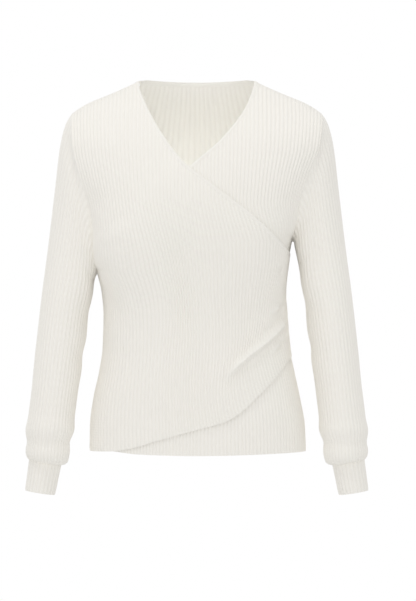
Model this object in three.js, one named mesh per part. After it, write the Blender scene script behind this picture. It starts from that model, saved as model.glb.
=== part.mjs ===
// A women's rib-knitted wrap sweater with a V neck and long sleeves, hollow as it is worn.
// Millimetres, +Z up. The origin is midway between the high points of the two shoulders, x runs
// to the wearer's left and the front faces -y. The wearer's right front wraps over the left one
// and is gathered into the left side seam. Every piece is a closed wall with a plain inside,
// and the ribs are raised on its outside.
import * as THREE from "three";

// Driving dimensions
const wall = 2.0; // thickness of the knit without its ribs
const ribHeight = 0.9;
const bandHeight = 0.6; // how far a narrow band stands out of the wall
const bandWidth = 5; // along the V
const backBandWidth = 8;
const seamGap = 0.3;
const bandGap = 1.3;
const backBandGap = 2.2;
const ribsAcross = 70; // on the back, and on each layer of the front
const ribsRoundSleeve = 42;
const ribsRoundCuff = 24;
const neckHalf = 90;
const neckFront = 45; // how far the neck reaches forward and back of the shoulder seam
const neckBack = 55;
const shoulderHalf = 195;
const shoulderDrop = 51;
const shoulderRound = 0.075; // how far the shoulder seam is rounded up, as a share of its drop
const neckRise = 6; // how far the back of the neck may stand over the shoulder points
const neckRiseRun = 9; // from the shoulder point inwards, over how far it comes up
const bulgePower = 2.5; // puts the roundest part of the shoulder seam nearer to the sleeve
const neckline = { height: 2, dip: 1.2, corner: 3.2, cornerFrom: 80 }; // at the back
const archStart = -110; // from here up the body bends over to the shoulder seams
const archPower = 0.6; // how late the body leaves its upright form on the way over
const neckPower = 1.5; // and how late it takes the form of the neck
const sidePower = 2.3; // above 2, the sections are fuller than an ellipse towards the sides
const underarm = -247;
const overLift = 3.2; // how far the upper layer of the wrap lies outside the body's form
const underSink = 1.9; // and the lower layer inside it
const coverFade = 38; // over how far past the overlap each layer comes back to that form
const coverReach = 1.2 * coverFade;
const skin = wall / 2 + ribHeight;

// Sections of the body from hem to neck: half widths of its middle surface on the wearer's right
// and left, depths of the front and back from the side seam, half depth of the armhole, and how
// far the section curls round towards the side, 1 where it reaches the side seam.
const sections = [
  { z: -586, right: 164.5, left: 169.5, front: 93, back: 90, armhole: 0, curl: 1 },
  { z: -540, right: 162.8, left: 167, front: 94, back: 92, armhole: 0, curl: 1 },
  { z: -495, right: 157.2, left: 159, front: 95, back: 91, armhole: 0, curl: 1 },
  { z: -457, right: 150, left: 151, front: 95, back: 88, armhole: 0, curl: 1 },
  { z: -419, right: 145, left: 143.2, front: 94, back: 85, armhole: 0, curl: 1 },
  { z: -370, right: 143.5, left: 139, front: 96, back: 84, armhole: 0, curl: 1 },
  { z: -330, right: 145.5, left: 137.2, front: 102, back: 87, armhole: 0, curl: 1 },
  { z: -308, right: 149, left: 139, front: 106, back: 89.5, armhole: 0, curl: 1 },
  { z: -287, right: 153.7, left: 141.8, front: 110, back: 92, armhole: 0, curl: 1 },
  { z: -268, right: 156.2, left: 144.5, front: 114.5, back: 95.5, armhole: 0, curl: 1 },
  { z: -247, right: 158.8, left: 149, front: 118, back: 98, armhole: 0, curl: 1 },
  { z: -230, right: 161.5, left: 153, front: 121, back: 100, armhole: 38, curl: 0.96 },
  { z: -192, right: 168.5, left: 160, front: 123, back: 103, armhole: 57, curl: 0.9 },
  { z: -151, right: 181, left: 173, front: 114, back: 102, armhole: 60, curl: 0.88 },
  { z: -104, right: 192, left: 190, front: 96, back: 96, armhole: 55, curl: 0.88 },
  { z: -51, right: 195, left: 195, front: 74, back: 82, armhole: 48, curl: 0.88 },
  { z: 0, right: 195, left: 195, front: 52, back: 62, armhole: 40, curl: 0.88 },
];

// Heights of the rows of points up a body panel, and their share of the way over the shoulder.
const backRows = [-505, -415, -345, -265, -190, archStart];
const frontRows = [-520, -455, -400, -350, -300, -262, -236, -207, -178, -148, archStart];
const archRows = [0.45, 0.83];
const leastFirstRow = 5; // above the lower edge, and below the upper one
const leastLastRow = 3;

// The plain inside has a line for every so many half ribs, and more at these shares of the width.
const liningEvery = 6;
const sideFrom = 0.88;
const neckFrom = 0.38;
const neckTo = 0.54;
const gatheredFrom = 0.6;
const hiddenBefore = -0.58; // the lower layer is plain here, right under the upper one

// Edge of the upper layer, from the neck down to the left side seam.
const wrapEdge = [
  { x: -91, z: 0 },
  { x: -86, z: -22 },
  { x: -62, z: -72 },
  { x: -24, z: -126 },
  { x: 19, z: -162 },
  { x: 79, z: -207 },
  { x: 119, z: -243 },
  { x: 147, z: -273 },
];

// Edge of the lower layer, from the right side seam, hidden, up past the V to the neck.
const underEdge = [
  { x: -152, z: -285 },
  { x: -80, z: -205 },
  { x: -10, z: -137 },
  { x: 35, z: -98 },
  { x: 70, z: -54 },
  { x: 84, z: -24 },
  { x: 91, z: 0 },
];

// Lower edges: the upper layer rises to a round corner and on to the left side seam.
const wrapHem = [
  { x: -175, z: -580 },
  { x: -130, z: -578 },
  { x: -94, z: -571.5 },
  { x: -71, z: -564.5 },
  { x: -45, z: -558 },
  { x: -10, z: -549 },
  { x: 26, z: -539 },
  { x: 43, z: -533 },
  { x: 58, z: -524 },
  { x: 76, z: -510 },
  { x: 94, z: -492.5 },
  { x: 116, z: -470 },
  { x: 150, z: -428 },
];
const underHem = [
  { x: -175, z: -575 },
  { x: -130, z: -578 },
  { x: -92, z: -582 },
  { x: 0, z: -584 },
  { x: 175, z: -580 },
];
const backHem = [
  { x: -175, z: -580 },
  { x: 0, z: -582 },
  { x: 175, z: -580 },
];

// Ridges of cloth that run out of the gathers, from the side seam inwards.
const ridges = [
  { x: 137, z: -344.5, toX: 100, toZ: -373, height: 4, width: 6 },
  { x: 138, z: -375, toX: 42, toZ: -471, height: 6, width: 8 },
  { x: 139, z: -398, toX: 108, toZ: -434, height: 4, width: 6 },
];
const gatherRows = [-330, -366, -382, -416, -432];
const gatherRowsFrom = 75; // x
const ridgeRise = 0.2; // over what share of its length a ridge comes up
const ridgeFall = 0.3; // and from what share it dies away

// The sleeves from the shoulder to their turned-under ends: the outer line of the outside as seen
// from the front, the inner line on the left and on the right, and the half depth.
const sleeveRings = [
  { outerX: 205, outerZ: -66, innerLeft: 153.5, innerRight: 163.4, innerZ: -252, depth: 57 },
  { outerX: 213.5, outerZ: -100, innerLeft: 157, innerRight: 162.8, innerZ: -262, depth: 55.5 },
  { outerX: 221.5, outerZ: -165, innerLeft: 160.2, innerRight: 160.9, innerZ: -280, depth: 54 },
  { outerX: 232, outerZ: -250, innerLeft: 164, innerRight: 160.8, innerZ: -308, depth: 51 },
  { outerX: 244, outerZ: -340, innerLeft: 170.5, innerRight: 168.6, innerZ: -362, depth: 50 },
  { outerX: 265.5, outerZ: -540, innerLeft: 194, innerRight: 194.6, innerZ: -551, depth: 47 },
  { outerX: 269, outerZ: -575, innerLeft: 198, innerRight: 199, innerZ: -586, depth: 45 },
  { outerX: 266.5, outerZ: -588, innerLeft: 202, innerRight: 202.5, innerZ: -598, depth: 41 },
];
const cuffRings = [
  { outerX: 262, outerZ: -594.5, innerLeft: 210.5, innerRight: 210.5, innerZ: -603, depth: 29 },
  { outerX: 269, outerZ: -640.5, innerLeft: 221.5, innerRight: 221.5, innerZ: -648, depth: 28 },
];
const armForward = 0.05; // how far the sleeve leans forward, for each unit that it drops
const armholeClearance = 4.6; // between the middles of the walls at the underarm
const shoulderClearance = 2.3; // and at the top of the shoulder
const ovalSteps = 72;
const cuffTuck = 2.0; // height of the sleeve's turned-under edge over the cuff

const ivory = { color: 0xf1efe6, roughness: 0.92, metalness: 0 };
const bandIvory = { color: 0xefece2, roughness: 0.9, metalness: 0 };

// A smooth line through one column of a table, as a function of another that grows.
function through(rows, from, to) {
  const last = rows.length - 1;
  const slope = (i) => (rows[i + 1][to] - rows[i][to]) / (rows[i + 1][from] - rows[i][from]);
  const tangent = (i) => {
    if (i === 0 || i === last) return slope(Math.min(i, last - 1));
    const before = slope(i - 1);
    const after = slope(i);
    return before * after > 0 ? (2 * before * after) / (before + after) : 0;
  };
  return (value) => {
    const found = rows.findLastIndex((row) => row[from] <= value);
    const i = THREE.MathUtils.clamp(found, 0, last - 1);
    const width = rows[i + 1][from] - rows[i][from];
    const t = THREE.MathUtils.clamp((value - rows[i][from]) / width, 0, 1);
    const rise = t * t * (3 - 2 * t);
    const bend = width * t * (1 - t);
    const ends = rows[i][to] * (1 - rise) + rows[i + 1][to] * rise;
    return ends + bend * ((1 - t) * tangent(i) - t * tangent(i + 1));
  };
}

const body = Object.fromEntries(
  ["right", "left", "front", "back", "armhole", "curl"].map((name) => [
    name,
    through(sections, "z", name),
  ]),
);

// How far a section has come round from the side, 0, to the middle, 1, at a share of its width.
const roundness = (share) => Math.sqrt(Math.max(0, 1 - Math.pow(share, sidePower)));

const halfWidth = (across, z) => (across < 0 ? body.right(z) : body.left(z));

const smooth = THREE.MathUtils.smoothstep;

// Height of the shoulder seam over x, a little rounded up between the neck and the sleeve;
// between the shoulders it is the height of the neck.
function shoulderLine(x) {
  const out = Math.max(0, Math.abs(x) - neckHalf) / (shoulderHalf - neckHalf);
  const bulge = Math.sin(Math.PI * Math.pow(Math.min(out, 1), bulgePower));
  return -shoulderDrop * (out - shoulderRound * bulge);
}

// The highest that a body piece goes: over the shoulder seam only at the back of the neck.
function topLine(x, facing) {
  const risen = facing > 0 ? neckRise * smooth(neckHalf - Math.abs(x), 0, neckRiseRun) : 0;
  return shoulderLine(x) + risen;
}

// A point of the body's middle surface: across runs from -1 at the wearer's right side seam or
// armhole to 1 at the left, and facing is -1 on the front and 1 on the back.
function bodyPoint(across, height, facing) {
  const x = across * halfWidth(across, height);
  const top = topLine(x, facing);
  const z = Math.min(height, top);
  const curl = body.curl(z);
  const edge = roundness(curl);
  const middle = (roundness(Math.abs(across) * curl) - edge) / (1 - edge);
  const depth = facing < 0 ? body.front(z) : body.back(z);
  const side = body.armhole(z);
  const out = side + (depth - side) * middle;
  const neck = Math.max(0, 1 - (x / neckHalf) ** 2);
  const atTop = neck * (facing < 0 ? neckFront : neckBack);
  const rise = THREE.MathUtils.clamp((z - archStart) / (top - archStart), 0, 1);
  const kept = Math.pow(1 - rise * rise, archPower);
  const y = out * kept + atTop * Math.pow(1 - kept, neckPower);
  return new THREE.Vector3(x, facing * (y + seamGap / 2), z);
}

// A point { at, place, normal } of a body piece. At a seam at the side or on the shoulder the
// wall's edge lies in the plane of the seam, so the normal has no part across it.
function bodyRow(at, across, height, facing, lift) {
  const place = bodyPoint(across, height, facing);
  const step = 0.004;
  const drop = 3;
  const limit = (value) => THREE.MathUtils.clamp(value, -1, 1);
  const round = bodyPoint(limit(across + step), height, facing);
  round.sub(bodyPoint(limit(across - step), height, facing));
  const up = bodyPoint(across, Math.min(height + drop, topLine(place.x, facing)), facing);
  up.sub(bodyPoint(across, height - drop, facing));
  const normal = round.cross(up).multiplyScalar(-facing);
  if (Math.abs(place.y) < seamGap) normal.setY(0);
  normal.normalize();
  place.addScaledVector(normal, lift(place));
  return { at, place, normal };
}

// Shares of the half width at which count ribs are evenly spaced round a section.
function evenShares(count) {
  const steps = 2000;
  const typical = { width: 155, depth: 108 };
  const lengths = [0];
  const shareAt = (i) => Math.sin((i / steps) * (Math.PI / 2));
  for (let i = 1; i <= steps; i++) {
    const across = typical.width * (shareAt(i) - shareAt(i - 1));
    const back = typical.depth * (roundness(shareAt(i)) - roundness(shareAt(i - 1)));
    lengths.push(lengths[i - 1] + Math.hypot(across, back));
  }
  return Array.from({ length: count + 1 }, (_, k) => {
    const wanted = (Math.abs(2 * k - count) / count) * lengths[steps];
    const i = Math.max(1, lengths.findIndex((length) => length >= wanted - 1e-6));
    const part = (wanted - lengths[i - 1]) / (lengths[i] - lengths[i - 1]);
    const share = shareAt(i - 1) + part * (shareAt(i) - shareAt(i - 1));
    return Math.sign(2 * k - count) * Math.min(1, share);
  });
}

// Fills the strip between two chains of vertices, each { at, id } with at growing.
function zip(first, second, triangles) {
  let i = 0;
  let j = 0;
  while (i < first.length - 1 || j < second.length - 1) {
    const firstEnds = i === first.length - 1;
    const secondEnds = j === second.length - 1;
    if (secondEnds || (!firstEnds && first[i + 1].at <= second[j + 1].at)) {
      triangles.push([first[i].id, second[j].id, first[i + 1].id]);
      i++;
    } else {
      triangles.push([first[i].id, second[j].id, second[j + 1].id]);
      j++;
    }
  }
}

// Mean normal of the faces round each vertex.
function vertexNormals(points, triangles) {
  const normals = points.map(() => new THREE.Vector3());
  const ab = new THREE.Vector3();
  const ac = new THREE.Vector3();
  for (const [a, b, c] of triangles) {
    ab.subVectors(points[b], points[a]);
    ac.subVectors(points[c], points[a]);
    const normal = ab.clone().cross(ac);
    for (const id of [a, b, c]) normals[id].add(normal);
  }
  return normals.map((normal) => normal.normalize());
}

// A closed wall about a middle surface. Its columns stand side by side, left to right as seen
// from outside, each { points: [{ at, place, normal }], rib, inside }, with at growing upwards.
// A column has a rib of that share of the height, and inside says whether the plain inner face
// has it. Points without a normal take it from the faces round them, and closed joins the last
// column to the first.
function knitWall(columns, { closed = false, raised = ribHeight } = {}) {
  const points = columns.flatMap((column) => column.points);
  let id = 0;
  const chains = columns.map((column) => column.points.map(({ at }) => ({ at, id: id++ })));
  const pairs = (list) =>
    list.slice(closed ? 0 : 1).map((_, i) => [list[i], list[(i + 1) % list.length]]);
  const face = [];
  for (const [left, right] of pairs(chains)) zip(left, right, face);
  const places = points.map((point) => point.place);
  const bent = vertexNormals(places, face);
  const normals = points.map((point, i) => point.normal ?? bent[i]);

  const vertices = [];
  const offset = (chain, distance) =>
    chain.map(({ at, id }) => {
      vertices.push(places[id].clone().addScaledVector(normals[id], distance));
      return { at, id: vertices.length - 1 };
    });
  const outer = chains.map((chain, i) => offset(chain, wall / 2 + raised * columns[i].rib));
  const insideColumns = columns.map((column, i) => i).filter((i) => columns[i].inside);
  const inner = insideColumns.map((i) => offset(chains[i], -wall / 2));

  const triangles = [];
  for (const [left, right] of pairs(outer)) zip(left, right, triangles);
  const lining = [];
  for (const [left, right] of pairs(inner)) zip(left, right, lining);
  for (const [a, b, c] of lining) triangles.push([a, c, b]);
  const rim = (list, numbers, end) => {
    const chain = list.map((column, i) => ({ at: numbers[i], id: column.at(end).id }));
    return closed ? [...chain, { at: columns.length, id: chain[0].id }] : chain;
  };
  const every = columns.map((_, i) => i);
  zip(rim(outer, every, 0), rim(inner, insideColumns, 0), triangles);
  zip(rim(inner, insideColumns, -1), rim(outer, every, -1), triangles);
  if (!closed) {
    zip(inner[0], outer[0], triangles);
    zip(outer.at(-1), inner.at(-1), triangles);
  }

  const geometry = new THREE.BufferGeometry();
  geometry.setFromPoints(vertices);
  geometry.setIndex(triangles.flat());
  geometry.computeVertexNormals();
  return geometry;
}

// A smooth edge through a table's points, spaced along its length, as seen from the front.
function edgePoints(table, count) {
  const curve = new THREE.SplineCurve(table.map(({ x, z }) => new THREE.Vector2(x, z)));
  return curve.getSpacedPoints(count).map((point, i) => {
    const along = curve.getTangentAt(i / count);
    return { point, inwards: new THREE.Vector2(along.y, -along.x) };
  });
}

// The edge moved into the cloth by a distance, as a height over x.
function edgeInside(table, distance) {
  const moved = edgePoints(table, 60).map(({ point, inwards }) => ({
    x: point.x + inwards.x * distance,
    z: point.y + inwards.y * distance,
  }));
  const growing = moved.filter((point, i) => moved.slice(0, i).every(({ x }) => x < point.x));
  const beyond = ({ z }) => (z > archStart ? Infinity : z);
  return (x) => {
    const i = growing.findIndex((point) => point.x >= x);
    if (i === 0) return beyond(growing[0]);
    if (i < 0) return beyond(growing.at(-1));
    const [a, b] = [growing[i - 1], growing[i]];
    return THREE.MathUtils.mapLinear(x, a.x, b.x, a.z, b.z);
  };
}

// Where a column of the panel crosses a line that is a height over x, searched from low to high.
function crossing(across, line, low, high) {
  const above = (z) => z > line(across * halfWidth(across, z));
  let [from, to] = [low, high];
  if (!above(high)) return high;
  for (let i = 0; i < 40; i++) {
    const middle = (from + to) / 2;
    if (above(middle)) to = middle;
    else from = middle;
  }
  return from;
}

// A body panel between a lower edge and an upper edge, both heights over x. ribbed says which
// shares of the width have ribs, and fine which ones have a closer lining, to follow small folds.
function bodyPanel({ facing, hem, top, ribbed, fine, rows, lift }) {
  const shares = evenShares(2 * ribsAcross);
  const columns = [];
  shares.forEach((across, k) => {
    const end = k === 0 || k === shares.length - 1;
    const lined = end || k % liningEvery === 0 || (fine(across) && k % 2 === 0);
    if (!lined && !ribbed(across)) return;
    const x = across * halfWidth(across, -500);
    const bottom = crossing(across, hem, -620, underarm);
    const roof = Math.abs(across) === 1 ? -shoulderDrop : 0;
    const roofLine = (at) => Math.min(topLine(at, facing), top(at));
    const upper = crossing(across, roofLine, bottom, roof);
    if (upper - bottom < 1) return;
    const over = across * halfWidth(across, upper);
    const arch = archRows.map((share) => archStart + share * (shoulderLine(over) - archStart));
    const heights = [bottom, ...rows(x), ...arch, upper].filter(
      (z) => z === bottom || z === upper || (z > bottom + leastFirstRow && z < upper - leastLastRow),
    );
    columns.push({
      points: heights.map((z) => bodyRow(z, across, z, facing, lift)),
      rib: !end && ribbed(across) && k % 2 === 1 ? 1 : 0,
      inside: lined,
    });
  });
  if (facing > 0) columns.reverse();
  columns[0].inside = true;
  columns.at(-1).inside = true;
  return knitWall(columns);
}

// A narrow band along an edge of the body, from the edge into the cloth, in steps of even
// length along the edge as it runs round the body.
function edgeBand({ facing, table, lift, steps, width = bandWidth }) {
  const row = (at, { x, y: z }) => {
    const across = THREE.MathUtils.clamp(x / halfWidth(x, z), -1, 1);
    return bodyRow(at, across, z, facing, lift);
  };
  const samples = edgePoints(table, 20 * steps);
  const places = samples.map(({ point }) => row(0, point).place);
  const lengths = [0];
  for (let i = 1; i < places.length; i++)
    lengths.push(lengths[i - 1] + places[i].distanceTo(places[i - 1]));
  const columns = Array.from({ length: steps + 1 }, (_, k) => {
    const wanted = (k / steps) * lengths.at(-1) - 1e-6;
    const { point, inwards } = samples[lengths.findIndex((length) => length >= wanted)];
    const low = row(0, point.clone().addScaledVector(inwards, width));
    return { points: [low, row(1, point)], rib: 1, inside: true };
  });
  if (facing > 0) columns.reverse();
  return knitWall(columns, { raised: bandHeight });
}

// Height of the cloth over the line of one ridge, which dies away towards its inner end.
function ridgeHeight(ridge, x, z) {
  const along = new THREE.Vector2(ridge.toX - ridge.x, ridge.toZ - ridge.z);
  const length = along.length();
  along.normalize();
  const fromStart = new THREE.Vector2(x - ridge.x, z - ridge.z);
  const forward = fromStart.dot(along);
  const aside = fromStart.cross(along);
  const risen = smooth(forward, 0, ridgeRise * length);
  const left = 1 - smooth(forward, ridgeFall * length, length);
  return ridge.height * risen * left * Math.exp(-((aside / ridge.width) ** 2));
}

const underTop = edgeInside(underEdge, bandWidth + bandGap);
const wrapTop = edgeInside(wrapEdge, bandWidth + bandGap);
const underLine = edgeInside(underEdge, 0);
const wrapLine = edgeInside(wrapEdge, 0);
const wrapBottom = through(wrapHem, "x", "z");

// The upper layer lies out over the lower one wherever that is under it.
function overLayer({ x, z }) {
  const cover = smooth(underLine(x) + coverReach - z, 0, coverFade);
  const folds = ridges.reduce((sum, ridge) => Math.max(sum, ridgeHeight(ridge, x, z)), 0);
  return overLift * cover + folds;
}

function underLayer({ x, z }) {
  const below = smooth(wrapLine(x) + coverReach - z, 0, coverFade);
  const above = smooth(z - wrapBottom(x) + coverReach, 0, coverFade);
  return -underSink * below * above;
}

// The back neckline is nearly level, and comes down to the shoulder points only at its ends.
function backNeck(x) {
  const corner = smooth(Math.abs(x), neckline.cornerFrom, neckHalf);
  return neckline.height + neckline.dip * (x / neckHalf) ** 2 - neckline.corner * corner;
}

const backNeckShares = [-1, -0.94, -0.86, -0.7, -0.4, 0, 0.4, 0.7, 0.86, 0.94, 1];
const backNeckTable = backNeckShares.map((share) => ({
  x: share * (neckHalf + 1),
  z: backNeck(share * neckHalf),
}));
const everywhere = () => true;
const nearSides = (across) => Math.abs(across) > sideFrom;
const nearNeck = (across) => Math.abs(across) > neckFrom && Math.abs(across) < neckTo;
const asFormed = () => 0;

function backTop(x) {
  if (Math.abs(x) >= neckHalf + backBandWidth) return 0;
  return backNeck(x) - backBandWidth - backBandGap;
}

function backPanel() {
  return bodyPanel({
    facing: 1,
    hem: through(backHem, "x", "z"),
    top: backTop,
    ribbed: everywhere,
    fine: (across) => nearSides(across) || nearNeck(across),
    rows: () => backRows,
    lift: asFormed,
  });
}

// The wearer's right front, which wraps over to the left side seam.
function wrapPanel() {
  return bodyPanel({
    facing: -1,
    hem: wrapBottom,
    top: wrapTop,
    ribbed: everywhere,
    fine: (across) => nearSides(across) || across > gatheredFrom || (across < 0 && nearNeck(across)),
    rows: (x) => (x > gatherRowsFrom ? [...frontRows, ...gatherRows].sort((a, b) => a - b) : frontRows),
    lift: overLayer,
  });
}

// The wearer's left front, ribbed where it shows and plain where it is hidden.
function underPanel() {
  return bodyPanel({
    facing: -1,
    hem: through(underHem, "x", "z"),
    top: underTop,
    ribbed: (across) => across > hiddenBefore,
    fine: (across) => nearSides(across) || (across > 0 && nearNeck(across)),
    rows: () => frontRows,
    lift: underLayer,
  });
}

// Points at even distances round a closed line.
function evenLoop(line, count) {
  const curve = new THREE.CatmullRomCurve3(line, true);
  curve.arcLengthDivisions = 1200;
  return curve.getSpacedPoints(count).slice(0, count);
}

// The line that a sleeve is sewn to, from the underarm round the front, over the shoulder and
// down the back, seen from outside the left side; each point is moved clear of the body.
function armholeLoop(across, count) {
  const middle = (underarm - shoulderDrop) / 2;
  const half = (-shoulderDrop - underarm) / 2;
  const turn = (i) => Math.cos((i / ovalSteps) * Math.PI);
  const heights = Array.from({ length: ovalSteps + 1 }, (_, i) => middle - half * turn(i));
  const clear = (z) => {
    const up = THREE.MathUtils.clamp((z - underarm) / (2 * half), 0, 1);
    return THREE.MathUtils.lerp(armholeClearance, shoulderClearance, Math.sqrt(up));
  };
  const place = (z, facing) => {
    const point = bodyPoint(across, z, facing);
    return point.setX(point.x + across * clear(z));
  };
  const line = [
    ...heights.map((z) => place(z, -1)),
    ...heights.map((z) => place(z, 1)).reverse(),
  ];
  return evenLoop(line, count);
}

// A ring of a sleeve or cuff between its outer and inner lines, starting on the inner line.
function tubeRing(ring, across, count) {
  const outer = new THREE.Vector3(across * ring.outerX, 0, ring.outerZ);
  const innerX = across < 0 ? ring.innerRight : ring.innerLeft;
  const inner = new THREE.Vector3(across * innerX, 0, ring.innerZ);
  const centre = outer.clone().add(inner).multiplyScalar(0.5);
  const forward = armForward * (centre.z - underarm);
  const half = outer.distanceTo(inner) / 2;
  const towards = outer.sub(inner).normalize();
  const line = Array.from({ length: ovalSteps }, (_, k) => {
    const angle = (2 * Math.PI * k) / ovalSteps;
    const point = centre.clone().addScaledVector(towards, -(half - skin) * Math.cos(angle));
    point.y = Math.min(0, forward) - (ring.depth - skin) * Math.sin(angle);
    return point;
  });
  return evenLoop(line, count);
}

// A tube of knit through rings of equal count, the first at the top; ribs run along it.
function tube(rings, ribShare, across) {
  const count = rings[0].length;
  const columns = Array.from({ length: count }, (_, k) => ({
    points: rings.toReversed().map((ring, i) => ({ at: i, place: ring[k] })),
    rib: (k % 2) * ribShare,
    inside: k % 4 === 0,
  }));
  if (across < 0) columns.reverse();
  return knitWall(columns, { closed: true });
}

function sleeve(across) {
  const count = 2 * ribsRoundSleeve;
  const rings = sleeveRings.map((ring) => tubeRing(ring, across, count));
  const end = tubeRing(cuffRings[0], across, count);
  for (const point of end) point.z += cuffTuck;
  return tube([armholeLoop(across, count), ...rings, end], 1, across);
}

function cuff(across) {
  const count = 2 * ribsRoundCuff;
  return tube(cuffRings.map((ring) => tubeRing(ring, across, count)), 1, across);
}

const bandMakers = {
  neckband_back: () =>
    edgeBand({ facing: 1, table: backNeckTable, lift: asFormed, steps: 36, width: backBandWidth }),
  neckband_right: () => edgeBand({ facing: -1, table: wrapEdge, lift: overLayer, steps: 36 }),
  neckband_left: () => edgeBand({ facing: -1, table: underEdge, lift: underLayer, steps: 36 }),
};
const pieceMakers = {
  back: backPanel,
  front_right: wrapPanel,
  front_left: underPanel,
  sleeve_right: () => sleeve(-1),
  sleeve_left: () => sleeve(1),
  cuff_right: () => cuff(-1),
  cuff_left: () => cuff(1),
};

function named(makers, finish) {
  return Object.entries(makers).map(([name, make]) => {
    const mesh = new THREE.Mesh(make(), new THREE.MeshStandardMaterial(finish));
    mesh.name = name;
    return mesh;
  });
}

const sweater = new THREE.Group();
sweater.add(...named(pieceMakers, ivory), ...named(bandMakers, bandIvory));

export default sweater;
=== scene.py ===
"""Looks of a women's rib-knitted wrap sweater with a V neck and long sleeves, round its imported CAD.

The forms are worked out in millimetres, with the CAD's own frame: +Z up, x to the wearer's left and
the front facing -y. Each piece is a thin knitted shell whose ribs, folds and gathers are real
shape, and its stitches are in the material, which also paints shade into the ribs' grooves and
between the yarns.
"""

import math

import bpy
import numpy as np

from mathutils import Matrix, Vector


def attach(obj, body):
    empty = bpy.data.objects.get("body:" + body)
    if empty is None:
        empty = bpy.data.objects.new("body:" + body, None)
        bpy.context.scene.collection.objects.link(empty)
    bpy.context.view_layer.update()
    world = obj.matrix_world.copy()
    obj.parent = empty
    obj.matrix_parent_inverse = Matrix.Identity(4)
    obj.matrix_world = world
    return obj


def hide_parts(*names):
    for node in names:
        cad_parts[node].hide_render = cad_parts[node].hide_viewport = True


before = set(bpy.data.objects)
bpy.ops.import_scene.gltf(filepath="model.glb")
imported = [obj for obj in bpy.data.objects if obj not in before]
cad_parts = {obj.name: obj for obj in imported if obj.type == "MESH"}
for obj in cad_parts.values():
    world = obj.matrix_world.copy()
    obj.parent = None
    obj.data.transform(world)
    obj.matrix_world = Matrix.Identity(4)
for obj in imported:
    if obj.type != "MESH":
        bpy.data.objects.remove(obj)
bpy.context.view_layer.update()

MM = 0.001  # everything but the studio is worked out in millimetres

# The camera and the studio; the garment's shoulders are at height 0.
VIEW_DISTANCE = 5000.0
FRAME_HEIGHT = 944.0  # what the picture shows, from top to bottom, at the garment
FRAME_CENTRE = (17.5, -344.0)
SENSOR = 36.0
FLOOR = -1.1  # in metres, like the lights' places
ROOM_LIGHT = 0.745  # what falls on the garment from the white room, which itself looks white

# The cloth
WALL = 1.1
OUTWARD = 0.4  # the cloth lies this far out of the middle of the plain CAD walls
SKIN = 1.9  # from the middle of a CAD wall to the top of its ribs
SEAM_GAP = 0.3
RIB_HEIGHT = 1.15
RIB_POWER = 0.75  # below 1, the ribs are wider than their grooves
RIB_UNEVEN = (0.93, 1.04)
GROOVE = 0.35  # how much of a rib's height its grooves cut into the wall
INNER_RIB = 0.3
BACK_INNER_RIB = 1.1
BACK_INNER_RIBS = 0.858  # bold ribs on the inside of the back's neck for each rib outside
NECK_SPREAD = 0.0039  # how much wider they get for each millimetre down
NECK_SPREAD_RUN = 150
TIGHT_LEVEL = 0.7  # height, as a share of a rib's, of cloth that is pulled flat
STITCH = 4.0  # height of one stitch
FIRST_RIB = 50  # number of the middle rib in the material's own coordinates
EDGE_ANGLE = math.radians(55)  # the cloth's cut and turned edges are sharp, its ribs soft
OVER_LIFT = 1.4
UNDER_SINK = 1.6
FLAT_SINK = 0.6  # the share of the sink on the wearer's right, where the upper layer lies flat
SINK_RUN = 60.0
COVER_FADE = 38.0
LIFT_REACH = 1.2  # how many times its fade the cover's lift reaches past the other layer's edge

# The body's form
NECK_HALF = 90.0
NECK_MARGIN = 8.0  # the back's neckline is cut to this far past the neck's ends
NECK_FRONT = 45.0
NECK_BACK = 55.0
NECK_RISE = 6.0  # how far the back of the neck may stand over the shoulder points
NECK_RISE_RUN = 9.0
NECK_POWER = 1.5
# The back neckline's height at its middle, its rise towards its ends and its fall at the seams
BACK_NECK = {"height": 2, "rise": 1.2, "fall": 3.2, "fall_from": 80}
SHOULDER_HALF = 195.0
SHOULDER_DROP = 51.0
SHOULDER_ROUND = 0.075
SHOULDER_ROUND_POWER = 2.5
ARCH_START = -110.0
ARCH_POWER = 0.6  # how the body closes over the shoulders
UNDERARM = {-1: -297.0, 1: -250.0}
ARMHOLE_BOTTOM = -192.0  # above this height the ribs near the armhole run beside it
BODY_POWER = 2.3  # of the section's oval, 2 for a round one
EVENED = 26.0  # how far up and down the sections are evened out, away from the armholes
LEAST_EVENED = 0.5  # less than this is left out
EVENED_OVER = (0.01, 0.3)  # how far from the side seam, as a share of the half width, that sets in

# The ribs, and the rows of points along them
RIBS_HALF = 40  # the most ribs from the middle to a side seam
# Ribs from the middle to each side seam of the front (-1), drawn to the wearer's left, and the back
RIBS_TO_SEAM = {-1: {-1: 40, 1: 36}, 1: {-1: 37, 1: 37}}
LEAST_RIBS = 26  # the armhole's edge is surely further from the middle than this
RIBS_SLEEVE = 42
RIBS_CUFF = 24
CHEST_PITCH = 5.6
FRONT_PITCH = 4.3  # of the ribs round the gathers
PAST_EDGE = 100.0  # what counts as the half width for ribs past the armhole's edge
ARMHOLE_SPREAD = 2.5  # power by which the ribs beside the armhole spread out with it
SEAM_SHARE = 1.0005  # a column ends where it is this share of the half width from the middle
SEAM_SCALE = 150.0
SAMPLES = 8  # columns of points in each rib
ROW_STEP = 6.0
FINE_ROW_STEP = 4.0
LEAST_ROWS = 4  # a shorter column is left out
END_ROOM = 2.0  # no row is closer to a column's end
HEM_FADE = (-1.5, 2)  # over which distance from the lower end the ribs rise
TOP_FADE = (0, 4)  # and over which they die away at the upper end
SEEN_LINING = 2  # the outer face's columns for each one of the inner face, where that is seen
HIDDEN_LINING = 4
LOWEST = -600.0  # the ribs are worked out from this height up
OUT_OF_THE_WAY = 1e3
EDGE_STEPS = 240
DENSE_STEPS = 60

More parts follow.
